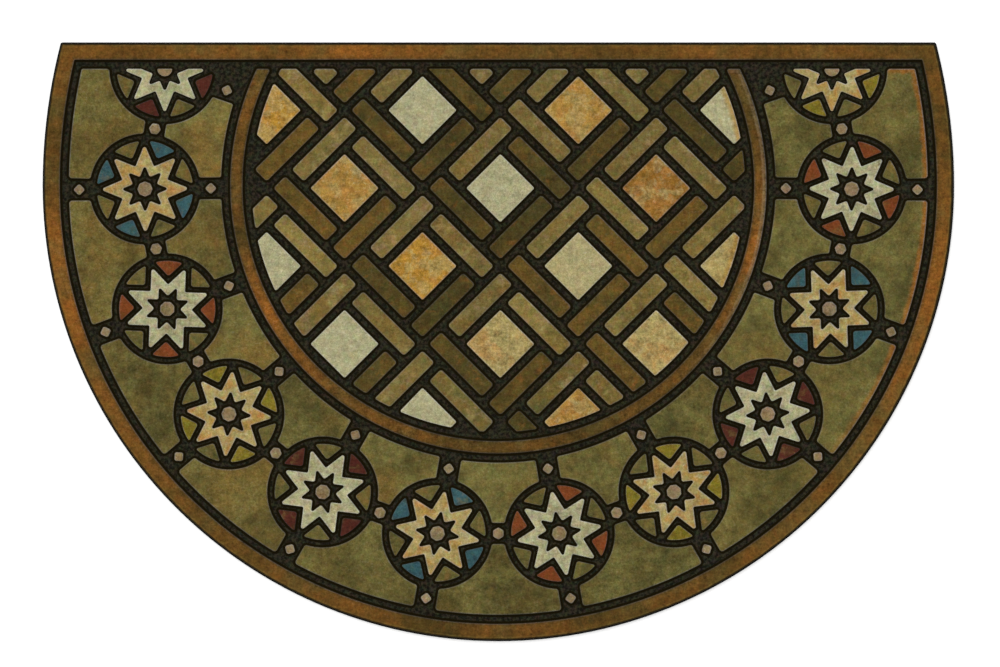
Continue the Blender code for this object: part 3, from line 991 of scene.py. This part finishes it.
class DOORMAT_OT_backing(bpy.types.Operator):
    """The black rubber sheet under the face, with its rounded rim"""

    bl_idname = "doormat.backing"
    bl_label = "Rubber backing"

    def execute(self, context):
        plan, inks = workshop(context)
        mould = Mould(1, 0.0, RUBBER_EDGE)
        mould.solid(plan.rim(0.0), "rim")
        sheet = mould.piece("crumb_rubber_sheet", crumb_rubber(inks), "rubber")
        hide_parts("rubber_backing")
        return {"FINISHED"}


class DOORMAT_OT_face(bpy.types.Operator):
    """The channels' floor, which carries all the pads"""

    bl_idname = "doormat.face"
    bl_label = "Channel floor"

    def execute(self, context):
        plan, inks = workshop(context)
        mould = Mould(2, plan.sizes.face_base, FLOOR_EDGE)
        mould.solid(plan.rim(plan.sizes.rubber_rim), "rim")
        floor = mould.piece("flocked_channel_floor", channel_flock(inks), "textile")
        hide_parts("moulded_face")
        return {"FINISHED"}


class DOORMAT_OT_bands(bpy.types.Operator):
    """The border and the narrow band round the field"""

    bl_idname = "doormat.bands"
    bl_label = "Border and inner band"

    def execute(self, context):
        plan, inks = workshop(context)
        sizes = plan.sizes
        moulds = moulds_for(plan, 3, "border", "inner_band")
        moulds["border"].hoop((
            closed_evenly(plan.rim(sizes.rubber_rim + sizes.face_lip)),
            closed_evenly(plan.half_round(
                plan.border_radius, plan.border_top, RIM_STEPS, sizes.side_stretch
            )),
        ), ("rim", "border"), plan.warmth(BORDER_SWELLS), BORDER_LIP)
        outside = plan.line(plan.radius, plan.straight, sizes.side_stretch)
        inside = plan.line(plan.border_radius, plan.border_top, sizes.side_stretch)
        # The umber stripe inside the border's inner edge and the walls' near-black along its outer edge
        # are painted shade on its rounded edges; the sand lines just inside that dark edge are a painted
        # highlight
        moulds["border"].pads("border", inks, (
            ("umber", inside, 4, 1, 0.4),
            ("sand", outside, -4.9, -3.7, 0.22),
            ("sand", outside, -4.9, -3.7, 0.25, True),
            ("wall", outside, -3.4, -2.3, 0.85),
            ("wall", outside, -4.0, -2.9, 0.6, True),
        ))
        outer, inner = (
            plan.half_round(radius, plan.top, BAND_STEPS)
            for radius in (plan.band_outer, plan.band_inner)
        )
        moulds["inner_band"].solid(
            np.concatenate((outer, inner[::-1])), "band", plan.warmth(INNER_SWELLS), ladder=True
        )
        outside = plan.line(plan.band_outer, plan.top)
        inside = plan.line(plan.band_inner, plan.top)
        # The umber stripes along both of the inner band's edges are painted shade on its rounded edges
        moulds["inner_band"].pads("inner_band", inks, (
            ("clay", outside, -5, -3, 0.45, True),
            ("umber", outside, -3.5, -0.5, 0.5),
            ("umber", inside, 4, 0.5, 0.6),
        ))
        return {"FINISHED"}


class DOORMAT_OT_roundels(bpy.types.Operator):
    """The star bands, the accent tiles between their points, and their centre tiles"""

    bl_idname = "doormat.roundels"
    bl_label = "Roundels"

    def execute(self, context):
        plan, inks = workshop(context)
        moulds = moulds_for(
            plan, 10, "cream_stars", "gold_stars", *(colour + "_accents" for colour in ACCENTS),
            "muted_accents", "star_centres",
        )
        for number, heading in enumerate(plan.roundel_headings()):
            centre = polar(plan.hub, plan.middle, heading)
            star = moulds["gold_stars" if number % 2 else "cream_stars"]
            accent = moulds[ACCENTS[number % len(ACCENTS)] + "_accents"]
            half = number in (0, plan.sizes.roundels + 1)
            heading = -90.0 if half else heading
            corners = STAR_POINTS + 1 if half else 2 * STAR_POINTS
            outer, inner = (
                star_line(plan, centre, heading, corners, drawn)
                for drawn in (0.0, plan.sizes.star_band)
            )
            if half:
                star.solid(np.concatenate((outer, inner[::-1])), "half_star", ladder=True)
                tile = polar(centre, CENTRE_TILE, np.linspace(-90, 90, HALF_TILE_POINTS))
            else:
                star.hoop((outer, inner), ("star", "star_hole"))
                tile = regular_tile(centre, CENTRE_TILE, STAR_POINTS, heading)
            moulds["star_centres"].solid(tile, "centre")
            for tip in range(STAR_POINTS // 2 if half else STAR_POINTS):
                tile = accent_tile(plan, centre, heading + (tip + 0.5) * STAR_TURN)
                (accent if tip % 2 else moulds["muted_accents"]).solid(tile, "accent")
        for name, mould in moulds.items():
            mould.pads(name, inks)
        return {"FINISHED"}


class DOORMAT_OT_panels(bpy.types.Operator):
    """The panels, lozenges and stones between the roundels"""

    bl_idname = "doormat.panels"
    bl_label = "Panels and stones"

    def execute(self, context):
        plan, inks = workshop(context)
        moulds = moulds_for(plan, 20, "outer_panels", "inner_panels", "lozenges_and_stones")
        stones = moulds["lozenges_and_stones"]
        headings = plan.roundel_headings()
        outermost = (plan.ring_outer + plan.middle + ROUNDEL_GROUND) / 2
        innermost = (plan.ring_inner + plan.middle - ROUNDEL_GROUND) / 2
        for number, heading in enumerate(headings):
            whole = 0 < number < len(headings) - 1
            for radius in (outermost, innermost) if whole else (innermost,):
                place = polar(plan.hub, radius, heading)
                stones.solid(regular_tile(place, LOZENGE_HALF, 4, heading), "stone")
        between = plan.middle * math.cos(math.radians(plan.pitch / 2))
        for number, middle in enumerate((headings[:-1] + headings[1:]) / 2):
            place = polar(plan.hub, between, middle)
            stones.solid(regular_tile(place, STONE_RADIUS, STONE_SIDES, middle), "stone")
            for outward, name in ((1, "outer_panels"), (-1, "inner_panels")):
                swing = PANEL_SWING * outward * (1 if number % 2 else -1)
                warmth = PANEL_WARMTH - PANEL_COOLING * middle + swing
                moulds[name].solid(ring_panel(plan, outward, middle), "panel", warmth)
        side = plan.line(plan.ring_outer, plan.top, plan.sizes.side_stretch)
        for name, mould in moulds.items():
            stripes = (("rust", side, -7, -2.5, 0.75, True),) if name == "outer_panels" else ()
            mould.pads(name, inks, stripes)
        return {"FINISHED"}


class DOORMAT_OT_field(bpy.types.Operator):
    """The pinwheels of squares and planks"""

    bl_idname = "doormat.field"
    bl_label = "Field of pinwheels"

    def execute(self, context):
        plan, inks = workshop(context)
        moulds = moulds_for(plan, 30, "cream_squares", "gold_squares", "light_planks", "dark_planks")
        for name, *details in field_tiles(plan):
            moulds[name].solid(*details)
        round_edge = plan.line(plan.field_radius, plan.top)
        for name, mould in moulds.items():
            stripes = (("amber", round_edge, -7, -2.5, 0.75, True),) if "squares" in name else ()
            mould.pads(name, inks, stripes)
        return {"FINISHED"}


class DOORMAT_OT_sheet(bpy.types.Operator):
    """Works out the area of the face's outline, and does nothing with it"""

    bl_idname = "doormat.sheet"
    bl_label = "Face's flat size"

    def execute(self, context):
        plan, _ = workshop(context)
        edge = plan.rim(plan.sizes.rubber_rim)
        float(outline_area(edge))
        return {"FINISHED"}


class DOORMAT_OT_stage(bpy.types.Operator):
    """The pale floor, the soft light and the camera"""

    bl_idname = "doormat.stage"
    bl_label = "Studio"

    def execute(self, context):
        stage = context.scene.doormat_stage
        scene = bpy.context.scene
        scene.view_settings.view_transform = "Standard"
        corners = FLOOR_REACH * np.array(((-1, -1, 0), (1, -1, 0), (1, 1, 0), (-1, 1, 0)))
        mesh = bpy.data.meshes.new("studio_floor")
        mesh.from_pydata(corners, [], [(0, 1, 2, 3)])
        finish = Finish("pale_floor", roughness=0.8)
        finish.shader.inputs["Base Color"].default_value = (*stage.floor, 1.0)
        finish.shader.inputs["Emission Color"].default_value = (1.0, 1.0, 1.0, 1.0)
        finish.shader.inputs["Emission Strength"].default_value = stage.floor_glow
        mesh.materials.append(finish.material)
        linked("studio_floor", mesh)

        world = bpy.data.worlds.new("studio_sky")
        world.use_nodes = True
        background = world.node_tree.nodes["Background"]
        background.inputs["Color"].default_value = (1.0, 1.0, 1.0, 1.0)
        background.inputs["Strength"].default_value = stage.sky
        scene.world = world

        lamp = bpy.data.lights.new("soft_lamp", "SUN")
        lamp.energy = stage.sun
        lamp.angle = LAMP_SPREAD
        linked("soft_lamp", lamp).rotation_euler = LAMP_TILT

        camera = bpy.data.cameras.new("camera")
        camera.lens = stage.lens
        camera.clip_start = CAMERA_NEAR
        camera.clip_end = CAMERA_FAR
        scene.camera = linked("camera", camera)
        scene.camera.location = (*CAMERA_PLACE, stage.camera_height)
        return {"FINISHED"}


class DOORMAT_PT_panel(bpy.types.Panel):
    """The doormat's sizes, colours and steps"""

    bl_idname = "DOORMAT_PT_panel"
    bl_label = "Half-round doormat"
    bl_space_type = "VIEW_3D"
    bl_region_type = "UI"
    bl_category = "Doormat"

    def draw(self, context):
        for group_name in GROUPS:
            group = getattr(context.scene, group_name)
            box = self.layout.box()
            for name in group.__annotations__:
                box.prop(group, name)
        for step in STEPS:
            self.layout.operator(step.bl_idname)


GROUPS = {
    "doormat_sizes": DOORMAT_PG_sizes,
    "doormat_inks": DOORMAT_PG_inks,
    "doormat_stage": DOORMAT_PG_stage,
}
STEPS = (
    DOORMAT_OT_backing, DOORMAT_OT_face, DOORMAT_OT_bands, DOORMAT_OT_roundels,
    DOORMAT_OT_panels, DOORMAT_OT_field, DOORMAT_OT_sheet, DOORMAT_OT_stage,
)


def register():
    """Registers the groups, the operators and the panel."""
    for name, group in GROUPS.items():
        bpy.utils.register_class(group)
        setattr(bpy.types.Scene, name, bpy.props.PointerProperty(type=group))
    for kind in (*STEPS, DOORMAT_PT_panel):
        bpy.utils.register_class(kind)


def unregister():
    """Takes back what register did."""
    for kind in (DOORMAT_PT_panel, *reversed(STEPS)):
        bpy.utils.unregister_class(kind)
    for name, group in GROUPS.items():
        delattr(bpy.types.Scene, name)
        bpy.utils.unregister_class(group)


def main():
    """Registers the add-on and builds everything."""
    register()
    bpy.ops.doormat.backing()
    bpy.ops.doormat.face()
    bpy.ops.doormat.bands()
    bpy.ops.doormat.roundels()
    bpy.ops.doormat.panels()
    bpy.ops.doormat.field()
    bpy.ops.doormat.sheet()
    bpy.ops.doormat.stage()


if __name__ == "__main__":
    main()
